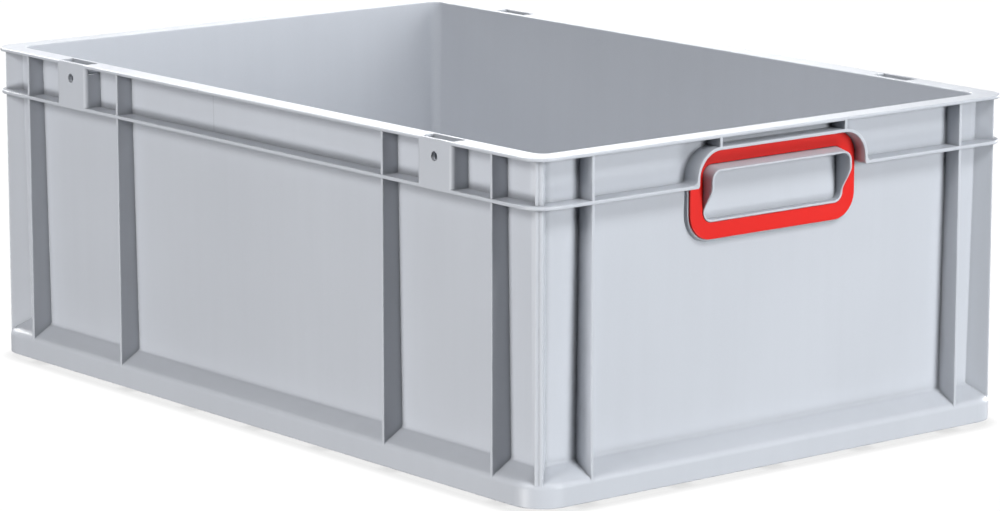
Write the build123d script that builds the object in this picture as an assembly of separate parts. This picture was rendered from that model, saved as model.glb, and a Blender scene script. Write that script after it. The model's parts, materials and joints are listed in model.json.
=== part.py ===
from build123d import *
from math import atan2, degrees, hypot, radians, tan
import os

# A stacking crate for the 600 x 400 mm pallet grid. It is one moulded body with a closed, hooded
# grip in each short side, and a clip-on colour frame round each grip.
# Millimetres. +X runs along the long side, +Z is up, and the origin is the centre of the face
# that the crate stands on. A "recess" is a distance inwards from the 600 x 400 outline, and a
# "drop" is a distance down from the top of the rim.

LENGTH = 600.0
WIDTH = 400.0
HEIGHT = 220.0

# Walls, rim and ledge
WALL = 3.0
WALL_RECESS = 12.5  # outer face of the wall at the very top
WALL_CORNER = 10.5
DRAFT = 0.9  # degrees that each wall leans in on its way down
RIM_THICKNESS = 2.2
RIM_CORNER = 16.0
RIM_ROUNDING = 0.7
LEDGE_DROP = 29.6
LEDGE_THICKNESS = 2.4
LEDGE_CORNER = 18.0
EDGE_ROUNDING = 0.6

# Base: a foot that drops into the rim of the crate below, a ribbed floor and a hollow skirt
FOOT_HEIGHT = 5.0
FOOT_CLEARANCE = 1.5  # between the foot and the rim opening of the crate below
FOOT_CORNER = 6.0
FOOT_BAND = 5.0
FLOOR = 3.0
FLOOR_ROUNDING = 3.0
FLOOR_RIB = 2.0
FLOOR_RIB_PITCH = 47.0
GATE_RADIUS = 8.0
SKIRT_RECESS = 0.5
SKIRT_LIFT = 3.5  # from the ground to the skirt's lower edge, which rests on the rim below
SKIRT_HEIGHT = 14.5  # upright part of the skirt
SKIRT_WALL = 2.5
SKIRT_ROUNDING = 5.0
FLARE_HEIGHT = 9.0
FLARE_BLEND = 2.5
WEB = 2.0
WEB_PITCH = 74.0
WEB_LIFT = 0.8  # the webs' lower edges stand this far above the skirt's

# Upright ribs, placed from the ends of the side that they stand on, and grooved corner fins
RIB = 2.2
RIB_RECESS = 0.6
RIBS_FROM_END = (45.0, 153.5)
RIB_FROM_SIDE = 44.5
FIN_WIDTH = 5.2
FIN_SETBACK = 10.5  # from the outline's corner point, along the diagonal
FIN_GROOVE = 1.0
FIN_GROOVE_DEPTH = 0.2

# Lid hinge sockets in the long sides
HINGE_FROM_END = 99.5
HINGE_WIDTH = 35.0
HINGE_ROUNDING = 3.0
HINGE_FACE = 2.7
HINGE_CHEEK = 1.8
PIN_RADIUS = 3.0
PIN_DROP = 10.8
WINDOW_HEIGHT = 4.5

# Hooded grips in the short sides
GRIP_WIDTH = 118.4
GRIP_HEIGHT = 36.4
GRIP_DROP = 19.9
GRIP_CORNER = 7.0
GRIP_WALL = 1.5
GRIP_FLOOR_RECESS = 14.2
HOOD_RECESS = 0.7
HOOD_SLOPE = 2.0  # how far the hood's top falls from the wall to its lip
HOOD_REACH = 13.0  # height over which the hood stands out fully
HOOD_BEND = 4.0  # how softly the hood's side edges turn into the lip
LIP_RECESS = 9.0
LIP_HEIGHT = 7.0  # height of the short lip under the hood
LIP_ROUNDING = 0.5

# Colour frames round the grips, the pads that they lie on and the arches over them
TOP_BAND = 9.7
SIDE_BAND = 10.4
BOTTOM_BAND = 10.7
FRAME_THICKNESS = 1.5
FRAME_CORNER = 17.0
FRAME_CLEARANCE = 0.2
FRAME_ROUNDING = 0.4
PEG_RADIUS = 2.0
PEG_LENGTH = 3.6
PEG_CLEARANCE = 0.15
PAD_RECESS = 11.0
PAD_MARGIN = 1.0  # pad that shows round the frame
PAD_DRAFT = 18.0
ARCH = 2.0
ARCH_CLEARANCE = 0.4
ARCH_FOOT = 3.0
ARCH_HEEL = 2.2  # rounding where the arch's inner face meets the ledge's underside

HALF_X = LENGTH / 2
HALF_Y = WIDTH / 2
LEAN = tan(radians(DRAFT))
RIM_BOTTOM = HEIGHT - RIM_THICKNESS
LEDGE_TOP = HEIGHT - LEDGE_DROP
LEDGE_BOTTOM = LEDGE_TOP - LEDGE_THICKNESS
FLARE_BASE = SKIRT_LIFT + SKIRT_HEIGHT
FLARE_TOP = FLARE_BASE + FLARE_HEIGHT
DEEP = WALL_RECESS + WALL + HEIGHT * LEAN  # further in than the inner face of any wall
GRIP_Z = HEIGHT - GRIP_DROP - GRIP_HEIGHT / 2
FRAME_Z = GRIP_Z + (TOP_BAND - BOTTOM_BAND) / 2
FRAME_WIDTH = GRIP_WIDTH + 2 * (FRAME_CLEARANCE + SIDE_BAND)
FRAME_HEIGHT = GRIP_HEIGHT + 2 * FRAME_CLEARANCE + TOP_BAND + BOTTOM_BAND
ARCH_WIDTH = FRAME_WIDTH + 2 * ARCH_CLEARANCE
ARCH_TOP = FRAME_Z + FRAME_HEIGHT / 2 + ARCH_CLEARANCE
ARCH_CORNER = FRAME_CORNER + ARCH_CLEARANCE

STANDING = (Align.CENTER, Align.CENTER, Align.MIN)
INWARDS = (Align.CENTER, Align.MIN, Align.MIN)


# ---- shared shapes ----


def wall_recess(z):
    """Recess of the wall's outer face at height z."""
    return WALL_RECESS + (HEIGHT - z) * LEAN


def wall_corner(z):
    """Radius of the wall's outer corner at height z."""
    return WALL_CORNER - (HEIGHT - z) * LEAN


def outline(recess, radius):
    return RectangleRounded(LENGTH - 2 * recess, WIDTH - 2 * recess, radius)


def plate(recess, radius, low, high):
    return Pos(0, 0, low) * extrude(outline(recess, radius), amount=high - low)


def drafted(inset, low, high):
    """Block with the wall's lean, its sides a constant inset from the wall's outer face."""
    top = outline(wall_recess(high) + inset, wall_corner(high) - inset)
    upside_down = extrude(top, amount=high - low, taper=DRAFT)
    return Pos(0, 0, high) * mirror(upside_down, about=Plane.XY)


def sloped(recess, radius, run, low, high):
    """Block whose four sides run inwards by a given distance on their way up."""
    angle = degrees(atan2(run, high - low))
    return Pos(0, 0, low) * extrude(outline(recess, radius), amount=high - low, taper=angle)


def edges_at(shape, z):
    return [edge for edge in shape.edges() if abs(edge.center().Z - z) < 0.01]


def outer_uprights(box):
    """The two upright edges of a box that face the outside."""
    return box.edges().filter_by(Axis.Z).sort_by(Axis.Y)[:2]


def spaced(half, from_end, pitch):
    """Even places along a side, the first and last a set distance from its ends."""
    reach = half - from_end
    gaps = max(1, round(2 * reach / pitch))
    return [2 * reach * step / gaps - reach for step in range(gaps + 1)]


def on_side(shape, side):
    """A shape made for the -Y long side, moved to the side asked for."""
    return shape if side < 0 else mirror(shape, about=Plane.XZ)


def on_end(side):
    """Frame of a short side: x runs across it, y up, and z out of it from the outline."""
    return Plane(origin=(side * HALF_X, 0, 0), x_dir=(0, side, 0), z_dir=(side, 0, 0)).location


def grip_outline(width, height, radius, centre):
    return Pos(0, centre) * RectangleRounded(width, height, radius)


def grip_block(grow, deep, shallow):
    """Block with the grip's outline, grown or shrunk, from one recess out to another."""
    shape = grip_outline(GRIP_WIDTH + 2 * grow, GRIP_HEIGHT + 2 * grow, GRIP_CORNER + grow, GRIP_Z)
    return Pos(0, 0, -deep) * extrude(shape, amount=deep - shallow)


def pegs(grow):
    """Pegs on the back of the colour frame, in the middle of its band."""
    side = (FRAME_WIDTH - SIDE_BAND) / 2
    near = side - FRAME_CORNER - SIDE_BAND
    top = GRIP_Z + GRIP_HEIGHT / 2 + FRAME_CLEARANCE + TOP_BAND / 2
    bottom = GRIP_Z - GRIP_HEIGHT / 2 - FRAME_CLEARANCE - BOTTOM_BAND / 2
    places = [(x, y) for x in (-near, near) for y in (bottom, top)] + [(-side, GRIP_Z), (side, GRIP_Z)]
    peg = Cylinder(PEG_RADIUS + grow, PEG_LENGTH + grow, align=(Align.CENTER, Align.CENTER, Align.MAX))
    return [Pos(x, y, -PAD_RECESS) * peg for x, y in places]


# ---- crate body ----


def skirt():
    """Upright band round the base, and the flare that leads from it up to the wall."""
    run = wall_recess(FLARE_TOP) - SKIRT_RECESS
    radius = wall_corner(FLARE_TOP) + run
    band = plate(SKIRT_RECESS, radius, SKIRT_LIFT, FLARE_BASE)
    band += sloped(SKIRT_RECESS, radius, run, FLARE_BASE, FLARE_TOP)
    return fillet(edges_at(band, FLARE_BASE), SKIRT_ROUNDING)


def skirt_hollow():
    """Open space under the skirt, divided by webs from the wall to the band."""
    run = wall_recess(FLARE_TOP) - SKIRT_RECESS
    recess = SKIRT_RECESS + SKIRT_WALL
    radius = wall_corner(FLARE_TOP) + run - SKIRT_WALL
    drop = SKIRT_WALL * hypot(run, FLARE_HEIGHT) / run
    low = FLARE_BASE + SKIRT_WALL * FLARE_HEIGHT / run - drop
    hollow = plate(recess, radius, 0, low)
    hollow += sloped(recess, radius, run - SKIRT_WALL, low, FLARE_TOP - drop)
    return hollow - drafted(0, 0, HEIGHT) - skirt_webs()


def skirt_webs():
    low = SKIRT_LIFT + WEB_LIFT
    across = [sign * (HALF_X - end) for sign in (-1, 1) for end in RIBS_FROM_END]
    across += spaced(HALF_X, RIBS_FROM_END[-1] + WEB_PITCH, WEB_PITCH)
    webs = [Pos(x, 0, low) * Box(WEB, WIDTH, FLARE_TOP, align=STANDING) for x in across]
    along = spaced(HALF_Y, RIB_FROM_SIDE, WEB_PITCH)
    webs += [Pos(0, y, low) * Box(LENGTH, WEB, FLARE_TOP, align=STANDING) for y in along]
    return webs


def foot():
    """Standing base: a band round the edge and a grid of low ribs under the floor."""
    recess = WALL_RECESS + WALL + FOOT_CLEARANCE
    base = plate(recess, FOOT_CORNER, 0, FOOT_HEIGHT)
    base = chamfer(edges_at(base, 0), EDGE_ROUNDING)
    inner = recess + FOOT_BAND
    hollow = plate(inner, FOOT_CORNER, 0, FOOT_HEIGHT - FLOOR)
    first = inner + FLOOR_RIB_PITCH
    ribs = [Pos(x, 0) * Box(FLOOR_RIB, WIDTH, HEIGHT) for x in spaced(HALF_X, first, FLOOR_RIB_PITCH)]
    ribs += [Pos(0, y) * Box(LENGTH, FLOOR_RIB, HEIGHT) for y in spaced(HALF_Y, first, FLOOR_RIB_PITCH)]
    return base - (hollow - ribs - Cylinder(GATE_RADIUS, HEIGHT))


def rim_and_ledge():
    rim = plate(0, RIM_CORNER, RIM_BOTTOM, HEIGHT)
    rim = fillet(edges_at(rim, HEIGHT) + edges_at(rim, RIM_BOTTOM), RIM_ROUNDING)
    ledge = plate(0, LEDGE_CORNER, LEDGE_BOTTOM, LEDGE_TOP)
    ledge = fillet(edges_at(ledge, LEDGE_TOP) + edges_at(ledge, LEDGE_BOTTOM), EDGE_ROUNDING)
    return [rim, ledge]


def upright(width, rounding):
    """Rib or fin from the skirt up into the rim, its outer face on the XZ plane."""
    low = FLARE_BASE - SKIRT_ROUNDING / 2
    high = HEIGHT - RIM_THICKNESS / 2
    box = Box(width, DEEP, high - low, align=INWARDS)
    return Pos(0, 0, low) * fillet(outer_uprights(box), rounding)


def ribs():
    rib = upright(RIB, min(EDGE_ROUNDING, RIB / 3))
    made = []
    for side in (-1, 1):
        for from_end in RIBS_FROM_END:
            for x in (from_end - HALF_X, HALF_X - from_end):
                made.append(on_side(Pos(x, RIB_RECESS - HALF_Y) * rib, side))
        for y in (RIB_FROM_SIDE - HALF_Y, HALF_Y - RIB_FROM_SIDE):
            made.append(Rot(0, 0, 90 * side) * (Pos(y, RIB_RECESS - HALF_X) * rib))
    return made


def fins():
    """Grooved diagonal fin on each of the four corners."""
    groove = Box(FIN_GROOVE, 2 * FIN_GROOVE_DEPTH, HEIGHT, align=STANDING)
    fin = Pos(0, FIN_SETBACK) * (upright(FIN_WIDTH, EDGE_ROUNDING) - groove)
    corners = ((-1, -1, -45), (1, -1, 45), (1, 1, 135), (-1, 1, 225))
    return [Pos(x * HALF_X, y * HALF_Y) * Rot(0, 0, turn) * fin for x, y, turn in corners]


def hinge_places():
    """Each hinge socket's place along the crate, and the long side that it is on."""
    middle = HALF_X - HINGE_FROM_END
    return [(x, side) for side in (-1, 1) for x in (-middle, middle)]


def hinge_block(x, side):
    depth = wall_recess(LEDGE_BOTTOM) + WALL / 2
    block = Box(HINGE_WIDTH, depth, HEIGHT - LEDGE_BOTTOM, align=INWARDS)
    block = fillet(outer_uprights(block), HINGE_ROUNDING)
    return on_side(Pos(x, -HALF_Y, LEDGE_BOTTOM) * block, side)


def hinge_cuts(x, side):
    """Pocket open at the top, a pin hole in its face, and a window towards the middle."""
    depth = WALL_RECESS - HINGE_FACE
    y = HINGE_FACE + depth / 2 - HALF_Y
    pocket = Box(HINGE_WIDTH - 2 * HINGE_CHEEK, depth, HEIGHT, align=STANDING)
    window = Box(4 * HINGE_CHEEK, depth, WINDOW_HEIGHT, align=STANDING)
    window_x = x - HINGE_WIDTH / 2 if x > 0 else x + HINGE_WIDTH / 2
    pin = Rot(90, 0, 0) * Cylinder(PIN_RADIUS, WALL_RECESS)
    cuts = [
        Pos(x, y, LEDGE_TOP) * pocket,
        Pos(window_x, y, RIM_BOTTOM - WINDOW_HEIGHT) * window,
        Pos(x, -HALF_Y, HEIGHT - PIN_DROP) * pin,
    ]
    return [on_side(cut, side) for cut in cuts]


def arch_profile(grow):
    """Loop round the top of the colour frame, from the ledge's underside up."""
    width = ARCH_WIDTH + 2 * grow
    tall = 2 * (ARCH_TOP + grow - LEDGE_BOTTOM)
    full = Pos(0, LEDGE_BOTTOM) * RectangleRounded(width, tall, ARCH_CORNER + grow)
    above = Pos(0, LEDGE_BOTTOM) * Rectangle(2 * width, tall, align=(Align.CENTER, Align.MIN))
    return full & above


def arch(side):
    """The ledge's turned-up loop, with rounded feet and two webs up to the rim."""
    half = ARCH_WIDTH / 2 + ARCH
    profile = arch_profile(ARCH)
    for sign in (-1, 1):
        corner = Pos(sign * (half + ARCH_FOOT / 2), LEDGE_TOP + ARCH_FOOT / 2)
        round_off = Pos(sign * (half + ARCH_FOOT), LEDGE_TOP + ARCH_FOOT) * Circle(ARCH_FOOT)
        profile += corner * Rectangle(ARCH_FOOT, ARCH_FOOT) - round_off
        web = Rectangle(WEB, HEIGHT - RIM_THICKNESS / 2 - ARCH_TOP, align=(Align.CENTER, Align.MIN))
        profile += Pos(sign * (half - ARCH_CORNER - ARCH), ARCH_TOP) * web
    return on_end(side) * (Pos(0, 0, -DEEP) * extrude(profile, amount=DEEP))


def arch_opening(side):
    profile = arch_profile(0)
    for sign in (-1, 1):
        heel = Pos(sign * ARCH_WIDTH / 2, LEDGE_BOTTOM) * Rectangle(2 * ARCH_HEEL, 2 * ARCH_HEEL)
        centre = (sign * (ARCH_WIDTH / 2 + ARCH_HEEL), LEDGE_BOTTOM + ARCH_HEEL)
        profile += heel - Pos(*centre) * Circle(ARCH_HEEL)
    return on_end(side) * (Pos(0, 0, -DEEP) * extrude(profile, amount=2 * DEEP))


def pad(side):
    """Raised pad with sloping edges that the colour frame lies on."""
    rise = wall_recess(GRIP_Z) - PAD_RECESS
    grow = PAD_MARGIN + rise * tan(radians(PAD_DRAFT))
    root = grip_outline(FRAME_WIDTH + 2 * grow, FRAME_HEIGHT + 2 * grow, FRAME_CORNER + grow, FRAME_Z)
    raised = extrude(root, amount=rise, taper=PAD_DRAFT)
    buried = extrude(root, amount=-WALL / 2)
    return on_end(side) * (Pos(0, 0, -PAD_RECESS - rise) * (raised + buried))


def hood(inset, root):
    """Block from the frame's face out to the hood's lip, its top falling as it goes."""
    faces = []
    for recess, slope in ((root, 0), (HOOD_RECESS, HOOD_SLOPE)):
        width = GRIP_WIDTH - 2 * inset
        height = GRIP_HEIGHT - 2 * inset - slope
        shape = grip_outline(width, height, GRIP_CORNER - inset, GRIP_Z - slope / 2)
        faces.append(Pos(0, 0, -recess) * shape)
    return loft(faces, ruled=True)


def hood_cut():
    """What is cut from the front of the hood: nothing above, all but a short lip below."""
    top = GRIP_Z + GRIP_HEIGHT / 2 - HOOD_REACH
    low = GRIP_Z - GRIP_HEIGHT / 2 + LIP_HEIGHT
    bend = [(-HOOD_RECESS, top - HOOD_BEND), (-LIP_RECESS, low + HOOD_BEND)]
    curve = Bezier((-HOOD_RECESS, top), *bend, (-LIP_RECESS, low))
    under = low - GRIP_HEIGHT
    corners = [(-LIP_RECESS, low), (-LIP_RECESS, under), (DEEP, under), (DEEP, top), (-HOOD_RECESS, top)]
    profile = make_face(curve + Polyline(*corners))
    # The profile's x points outwards from the crate and its y points up.
    standing = Plane(origin=(GRIP_WIDTH, 0, 0), x_dir=(0, 0, 1), z_dir=(-1, 0, 0))
    return standing.location * extrude(profile, amount=2 * GRIP_WIDTH)


def round_lip(grip):
    """Rounds the inner and outer edges of the lip, which runs over flat faces and the curve."""
    lip = [face for face in grip.faces() if face.geom_type == GeomType.EXTRUSION]
    lip += [face for face in grip.faces() if face.normal_at().Z > 0.999 and face.center().Z > -PAD_RECESS]
    edges = [edge for face in lip for edge in face.edges()]
    outside = [edge for edge in edges if sum(edge.is_same(other) for other in edges) == 1]
    return fillet(outside, LIP_ROUNDING)


def grip(side):
    """Closed recess for the fingers, with a hood that stands out over its upper edge."""
    face = PAD_RECESS - FRAME_THICKNESS
    made = grip_block(0, DEEP, face) + hood(0, face)
    made -= grip_block(-GRIP_WALL, GRIP_FLOOR_RECESS, face)
    made -= hood(GRIP_WALL, face)
    return on_end(side) * round_lip(made - hood_cut())


def peg_holes(side):
    return [on_end(side) * hole for hole in pegs(PEG_CLEARANCE)]


def round_inner_rim(body):
    limit_x = HALF_X - WALL_RECESS
    limit_y = HALF_Y - WALL_RECESS
    top = [(edge, edge.center()) for edge in edges_at(body, HEIGHT)]
    inner = [edge for edge, centre in top if abs(centre.X) < limit_x and abs(centre.Y) < limit_y]
    return fillet(inner, RIM_ROUNDING)


def crate_body():
    sides = (-1, 1)
    outside = drafted(0, FOOT_HEIGHT, HEIGHT)
    cavity = drafted(WALL, FOOT_HEIGHT, HEIGHT + RIM_THICKNESS)
    cavity = fillet(edges_at(cavity, FOOT_HEIGHT), FLOOR_ROUNDING)
    body = skirt() + outside
    body = fillet(edges_at(body, FLARE_TOP), FLARE_BLEND)
    body += rim_and_ledge() + ribs() + fins()
    body += [hinge_block(*place) for place in hinge_places()]
    body += [arch(side) for side in sides]
    body -= [arch_opening(side) - outside for side in sides]
    body += [pad(side) for side in sides]
    body -= [on_end(side) * grip_block(0, DEEP, 0) for side in sides]
    body += [grip(side) for side in sides]
    body = round_inner_rim(body - cavity)
    body -= skirt_hollow()
    body += foot()
    body -= [cut for place in hinge_places() for cut in hinge_cuts(*place)]
    body -= [hole for side in sides for hole in peg_holes(side)]
    return body


# ---- colour frames ----


def colour_frame(side):
    """Flat frame that lies on the pad round the grip, with six pegs into the pad."""
    outer = grip_outline(FRAME_WIDTH, FRAME_HEIGHT, FRAME_CORNER, FRAME_Z)
    frame = Pos(0, 0, -PAD_RECESS) * extrude(outer, amount=FRAME_THICKNESS)
    frame -= grip_block(FRAME_CLEARANCE, DEEP, 0)
    frame = fillet(edges_at(frame, FRAME_THICKNESS - PAD_RECESS), FRAME_ROUNDING)
    frame += pegs(0)
    return on_end(side) * frame


def main():
    os.makedirs("parts", exist_ok=True)
    export_step(crate_body(), "parts/crate_body.step")
    for name, side in (("left", -1), ("right", 1)):
        export_step(colour_frame(side), f"parts/{name}_colour_frame.step")


main()
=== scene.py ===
"""Looks of the stacking crate: finish of every moulding, studio floor, light and camera.

Lengths are in metres, unless a line says otherwise, in the crate's own frame: +X along the long
side, +Z up, origin at the centre of the face that it stands on.
"""

import json
import math

import bpy
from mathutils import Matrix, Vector

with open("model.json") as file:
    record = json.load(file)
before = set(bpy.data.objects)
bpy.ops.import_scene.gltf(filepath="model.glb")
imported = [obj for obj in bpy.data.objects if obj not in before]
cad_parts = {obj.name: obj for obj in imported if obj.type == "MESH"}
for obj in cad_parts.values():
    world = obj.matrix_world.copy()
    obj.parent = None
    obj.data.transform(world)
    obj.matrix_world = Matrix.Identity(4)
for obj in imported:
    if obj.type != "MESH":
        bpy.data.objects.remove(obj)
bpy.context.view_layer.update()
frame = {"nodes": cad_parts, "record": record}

# ---- camera: the photograph's viewing angle ----

CAMERA_PLACE = (2.271, -1.830, 0.667)
CAMERA_YAW = 50.91  # degrees
CAMERA_PITCH = -11.16  # degrees above the level
CAMERA_LENS = 157.0  # mm
SENSOR_WIDTH = 36.0  # mm
CLIP_NEAR = 0.05
CLIP_FAR = 100.0

# ---- light: soft boxes round the crate, and two below the floor for what white paper throws back ----

WHITE = (1.0, 1.0, 1.0)
COOL = (0.965, 0.985, 1.0)
LIGHTS = {
    # name: (direction in degrees from +X, height in degrees, watts, colour)
    "right_key": (15.0, 10.0, 55.0, COOL),
    "right_high": (5.0, 45.0, 45.0, COOL),
    "left_key": (280.0, 30.0, 45.0, WHITE),
    "back": (175.0, 30.0, 90.0, WHITE),
    "rim_light": (140.0, 30.0, 25.0, WHITE),
    "behind": (90.0, 5.0, 60.0, WHITE),
    "overhead": (0.0, 90.0, 30.0, WHITE),
    "right_bounce": (15.0, -35.0, 35.0, COOL),
    "left_bounce": (270.0, -15.0, 55.0, WHITE),
}
LIGHT_SIZE = 1.0
LIGHT_DISTANCE = 3.0
AIM = (0.0, 0.0, 0.1)

# ---- floor ----

FLOOR_SIZE = 30.0
PAPER = (0.02, 0.02, 0.02, 1.0)  # nearly black, because its white is all glow
PAPER_ROUGHNESS = 0.9
FLOOR_GLOW = (0.40, 1.0)  # right under the crate, and well clear of it
FLOOR_OPENNESS = (0.1, 0.9)  # how open the floor is at those two places
FLOOR_SAMPLES = 16
CONTACT_SHADOW = 0.012

# ---- finish: a tone multiplies the colour, and a gloss changes the roughness ----

GREY = (0.467, 0.486, 0.524)
RED = (0.63, 0.008, 0.004)
POLYPROPYLENE_IOR = 1.49
NOISE_RANGE = (0.25, 0.75)  # most of a noise's values lie in here

FLOW_MARKS = (7.0, 4.0)  # scale and detail of a noise, as in the lines like it below
FLOW_TONE = (0.975, 1.02)
FLOW_GLOSS = (-0.04, 0.04)
STREAKS = (1.0, 3.0)
STREAK_STRETCH = (90.0, 90.0, 5.0)  # long along the upright
STREAK_TONE = (0.988, 1.010)
SPECKLE = (2200.0, 2.0)
SPECKLE_TONE = (0.97, 1.03)
SCUFFS = (1.0, 6.0)
SCUFF_STRETCH = (14.0, 14.0, 160.0)  # long along the level
SCUFF_SPAN = (0.55, 0.75)  # only the noise's peaks are scuffs
SCUFF_GLOSS = 0.07

# painted shade: within this reach of other faces the colour is darkened, as under the rim and ledges
# and at rib roots
PAINTED_SHADE_REACH = 0.005
PAINTED_SHADE_SPAN = (0.25, 0.85)  # how open a recess and a plain face are, between which the painted shade fades out
EDGE_RADIUS = 0.0011
EDGE_SPAN = (0.88, 0.995)  # cosine between the rounded and the flat normal, at an edge and off it
FINISH_SAMPLES = 4
# a noise that breaks up the painted edge highlight into patches
HIGHLIGHT_BREAKUP = (120.0, 5.0)
HIGHLIGHT_BREAKUP_SPAN = (0.30, 0.70)
HIGHLIGHT_BREAKUP_LEAST = 0.45
# painted highlight: the colour along open edges is made up to this much lighter
EDGE_HIGHLIGHT_TONE = 1.20
EDGE_HIGHLIGHT_GLOSS = 0.10  # taken off the roughness

RIPPLE = (38.0, 2.0)
RIPPLE_STRENGTH = 0.10
RIPPLE_HEIGHT = 0.0005
GRAIN = (1600.0, 2.0)
GRAIN_STRENGTH = 0.06
GRAIN_HEIGHT = 0.0002

SEAM_X = -0.0505  # a mould insert leaves a fine upright line here, above the ledge on the long side
SEAM_WIDTH = 0.0005
SEAM_FRONT = -0.186  # it shows only on faces further out than this, on the photographed side
SEAM_FOOT = 0.1905
SEAM_TONE = 0.86


def make_camera():
    data = bpy.data.cameras.new("photo_camera")
    data.lens = CAMERA_LENS
    data.sensor_width = SENSOR_WIDTH
    data.clip_start = CLIP_NEAR
    data.clip_end = CLIP_FAR
    camera = bpy.data.objects.new("photo_camera", data)
    camera.location = CAMERA_PLACE
    camera.rotation_euler = (math.radians(90 + CAMERA_PITCH), 0.0, math.radians(CAMERA_YAW))
    bpy.context.scene.collection.objects.link(camera)
    bpy.context.scene.camera = camera


def direction(turn, height):
    """Unit vector that points away from the crate, from two angles in degrees."""
    turn = math.radians(turn)
    height = math.radians(height)
    level = math.cos(height)
    return Vector((math.cos(turn) * level, math.sin(turn) * level, math.sin(height)))


def make_light(name, turn, height, watts, colour):
    data = bpy.data.lights.new(name, "AREA")
    data.shape = "DISK"
    data.size = LIGHT_SIZE
    data.energy = watts
    data.color = colour
    light = bpy.data.objects.new(name, data)
    out = direction(turn, height)
    light.location = Vector(AIM) + out * LIGHT_DISTANCE
    light.rotation_euler = out.to_track_quat("Z", "Y").to_euler()
    light.visible_camera = False
    bpy.context.scene.collection.objects.link(light)


def make_room():
    """A world that gives no light, so that the soft boxes give all of it."""
    world = bpy.data.worlds.new("room")
    world.use_nodes = True
    world.node_tree.nodes["Background"].inputs["Strength"].default_value = 0.0
    bpy.context.scene.world = world


class Graph:
    """A material's node tree, with short calls for the nodes that the materials need."""

    def __init__(self, name):
        self.material = bpy.data.materials.new(name)
        self.material.use_nodes = True
        self.tree = self.material.node_tree
        self.shader = self.tree.nodes["Principled BSDF"]
        self.place = self.tree.nodes.new("ShaderNodeTexCoord").outputs["Object"]

    def feed(self, node, name, value):
        """Links a socket, or sets a plain value, on one of a node's inputs."""
        if isinstance(value, bpy.types.NodeSocket):
            self.tree.links.new(value, node.inputs[name])
        else:
            node.inputs[name].default_value = value

    def shade(self, **inputs):
        """Feeds the shader's inputs, with an underscore for each space in a name."""
        for name, value in inputs.items():
            self.feed(self.shader, name.replace("_", " "), value)

    def add(self, kind, output, settings=None, **inputs):
        """Adds a node, feeds its inputs, and gives back one of its outputs."""
        node = self.tree.nodes.new(kind)
        for name, value in (settings or {}).items():
            setattr(node, name, value)
        for name, value in inputs.items():
            self.feed(node, name.replace("_", " "), value)
        return node.outputs[output]

    def noise(self, scale, detail, place=None):
        """Fractal noise, most of it inside NOISE_RANGE."""
        place = place or self.place
        return self.add("ShaderNodeTexNoise", "Fac", Vector=place, Scale=scale, Detail=detail)

    def stretched(self, scale):
        """The object's coordinates scaled by a different amount along each axis."""
        return self.add("ShaderNodeMapping", "Vector", Vector=self.place, Scale=scale)

    def openness(self, reach, samples):
        """1 on an open face, and less the more there is within reach of it."""
        settings = {"samples": samples}
        return self.add("ShaderNodeAmbientOcclusion", "AO", settings, Distance=reach)

    def span(self, value, low, high, to_low, to_high):
        """Moves a value from one range to another, clamped at both ends."""
        limits = {"From_Min": low, "From_Max": high, "To_Min": to_low, "To_Max": to_high}
        return self.add("ShaderNodeMapRange", "Result", Value=value, **limits)

    def bump(self, noise, strength, height, normal):
        heights = self.noise(*noise)
        inputs = {"Height": heights, "Strength": strength, "Distance": height, "Normal": normal}
        return self.add("ShaderNodeBump", "Normal", **inputs)

    def math(self, operation, *values):
        node = self.tree.nodes.new("ShaderNodeMath")
        node.operation = operation
        for place, value in enumerate(values):
            self.feed(node, place, value)
        return node.outputs["Value"]

    def product(self, *values):
        total = values[0]
        for value in values[1:]:
            total = self.math("MULTIPLY", total, value)
        return total

    def tint(self, colour, factor):
        """A colour made lighter or darker by a factor that varies over the surface."""
        node = self.tree.nodes.new("ShaderNodeVectorMath")
        node.operation = "SCALE"
        self.feed(node, "Vector", colour)
        self.feed(node, "Scale", factor)
        return node.outputs["Vector"]


def floor_paper():
    """Paper that glows an even white, with a soft shadow only where the crate stands on it."""
    graph = Graph("floor_paper")
    openness = graph.openness(CONTACT_SHADOW, FLOOR_SAMPLES)
    glow = graph.span(openness, *FLOOR_OPENNESS, *FLOOR_GLOW)
    graph.shade(Base_Color=PAPER, Roughness=PAPER_ROUGHNESS, Specular_IOR_Level=0.0)
    graph.shade(Emission_Color=(1.0, 1.0, 1.0, 1.0), Emission_Strength=glow)
    return graph.material


def make_floor():
    """Floor that shows to the camera only: the bounce lights stand in for what it throws back."""
    half = FLOOR_SIZE / 2
    mesh = bpy.data.meshes.new("floor")
    corners = [(-half, -half, 0), (half, -half, 0), (half, half, 0), (-half, half, 0)]
    mesh.from_pydata(corners, [], [(0, 1, 2, 3)])
    mesh.materials.append(floor_paper())
    floor = bpy.data.objects.new("floor", mesh)
    floor.visible_diffuse = False
    floor.visible_glossy = False
    floor.visible_shadow = False
    bpy.context.scene.collection.objects.link(floor)


def edge_mask(graph):
    """1 along sharp edges and 0 on open faces, and the normal with those edges rounded off."""
    rounded = graph.add("ShaderNodeBevel", "Normal", {"samples": FINISH_SAMPLES}, Radius=EDGE_RADIUS)
    flat = graph.tree.nodes.new("ShaderNodeNewGeometry").outputs["Normal"]
    turn = graph.tree.nodes.new("ShaderNodeVectorMath")
    turn.operation = "DOT_PRODUCT"
    graph.feed(turn, 0, rounded)
    graph.feed(turn, 1, flat)
    return graph.span(turn.outputs["Value"], *EDGE_SPAN, 1.0, 0.0), rounded


def seam(graph):
    """1 on the fine upright line that the mould insert leaves on the long side's upper band."""
    split = graph.tree.nodes.new("ShaderNodeSeparateXYZ")
    graph.feed(split, "Vector", graph.place)
    near = graph.math("COMPARE", split.outputs["X"], SEAM_X, SEAM_WIDTH)
    front = graph.math("LESS_THAN", split.outputs["Y"], SEAM_FRONT)
    high = graph.math("GREATER_THAN", split.outputs["Z"], SEAM_FOOT)
    return graph.product(near, front, high)


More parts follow.
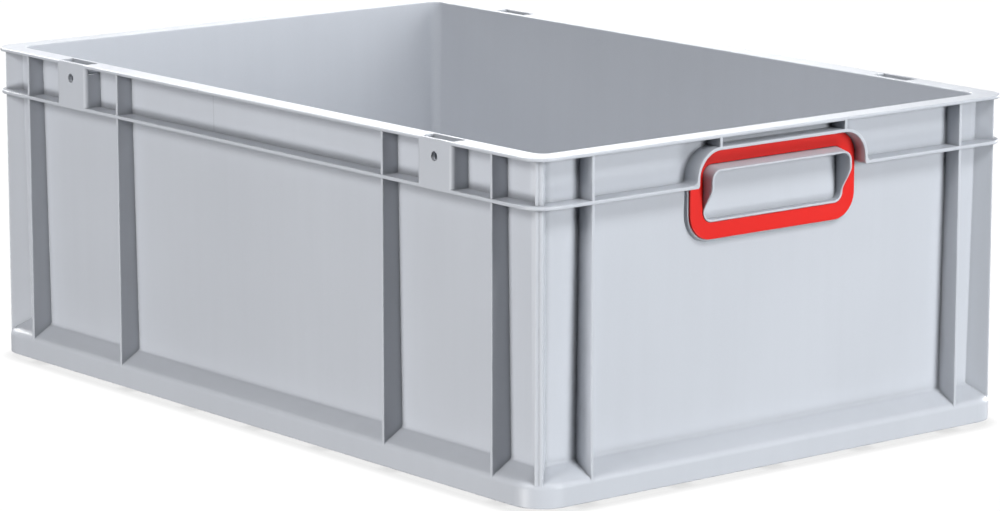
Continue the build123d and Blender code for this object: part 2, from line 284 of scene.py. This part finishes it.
def tone(graph, flow, openness, deepest_shade, edge_highlight):
    """Flow marks, streaks and speckle, with painted shade in corners and recesses and a painted
    highlight on open edges.
    """
    streaks = graph.noise(*STREAKS, graph.stretched(STREAK_STRETCH))
    return graph.product(
        graph.span(flow, *NOISE_RANGE, *FLOW_TONE),
        graph.span(streaks, *NOISE_RANGE, *STREAK_TONE),
        graph.span(graph.noise(*SPECKLE), *NOISE_RANGE, *SPECKLE_TONE),
        # painted shade: the colour darkens where other faces lie close, as under the rim and ledges
        graph.span(openness, *PAINTED_SHADE_SPAN, deepest_shade, 1.0),
        # painted highlight: the colour lightens along open edges
        graph.span(edge_highlight, 0.0, 1.0, 1.0, EDGE_HIGHLIGHT_TONE),
    )


def gloss(graph, flow, edge_highlight, roughness):
    """Roughness that follows the flow marks, rises in scuffs and falls along the edges where the
    highlight is painted.
    """
    scuffs = graph.noise(*SCUFFS, graph.stretched(SCUFF_STRETCH))
    uneven = graph.span(flow, *NOISE_RANGE, *FLOW_GLOSS)
    scuffed = graph.span(scuffs, *SCUFF_SPAN, 0.0, SCUFF_GLOSS)
    rough = graph.math("ADD", graph.math("ADD", uneven, scuffed), roughness)
    return graph.math("SUBTRACT", rough, graph.span(edge_highlight, 0.0, 1.0, 0.0, EDGE_HIGHLIGHT_GLOSS))


def plastic(name, colour, roughness, specular, deepest_shade, marks=None):
    """Moulded polypropylene: satin and finely grained, with flow marks and scuffs, painted shade in
    corners and recesses, and a painted highlight on open edges.
    """
    graph = Graph(name)
    flow = graph.noise(*FLOW_MARKS)
    openness = graph.openness(PAINTED_SHADE_REACH, FINISH_SAMPLES)
    edges, rounded = edge_mask(graph)
    breakup = graph.span(graph.noise(*HIGHLIGHT_BREAKUP), *HIGHLIGHT_BREAKUP_SPAN, HIGHLIGHT_BREAKUP_LEAST, 1.0)
    # mask of the painted edge highlight: sharp open edges, broken up by a noise
    edge_highlight = graph.product(edges, breakup, openness)
    shades = tone(graph, flow, openness, deepest_shade, edge_highlight)
    if marks:
        shades = graph.product(shades, graph.span(marks(graph), 0.0, 1.0, 1.0, SEAM_TONE))
    ripple = graph.bump(RIPPLE, RIPPLE_STRENGTH, RIPPLE_HEIGHT, rounded)
    grain = graph.bump(GRAIN, GRAIN_STRENGTH, GRAIN_HEIGHT, ripple)
    graph.shade(Base_Color=graph.tint(colour, shades), Normal=grain)
    graph.shade(Roughness=gloss(graph, flow, edge_highlight, roughness))
    graph.shade(IOR=POLYPROPYLENE_IOR, Specular_IOR_Level=specular)
    return graph.material


def finish_cad_nodes():
    """Puts the finish of its material slot on each node of the frame."""
    # painted shade darkens the body to half its colour in the closest corners, and the red only a
    # little
    body = plastic("body_polypropylene", GREY, roughness=0.42, specular=0.5, deepest_shade=0.50, marks=seam)
    red = plastic("frame_polypropylene", RED, roughness=0.44, specular=0.4, deepest_shade=0.92)
    finishes = {"body": body, "colour_frame": red}
    slots = {part["node"]: part["material_slot"] for part in frame["record"]["subparts"]}
    for node, piece in frame["nodes"].items():
        piece.data.materials.clear()
        piece.data.materials.append(finishes[slots[node]])


def main():
    make_camera()
    for name, settings in LIGHTS.items():
        make_light(name, *settings)
    make_room()
    make_floor()
    finish_cad_nodes()
    bpy.context.scene.view_settings.view_transform = "Standard"


main()
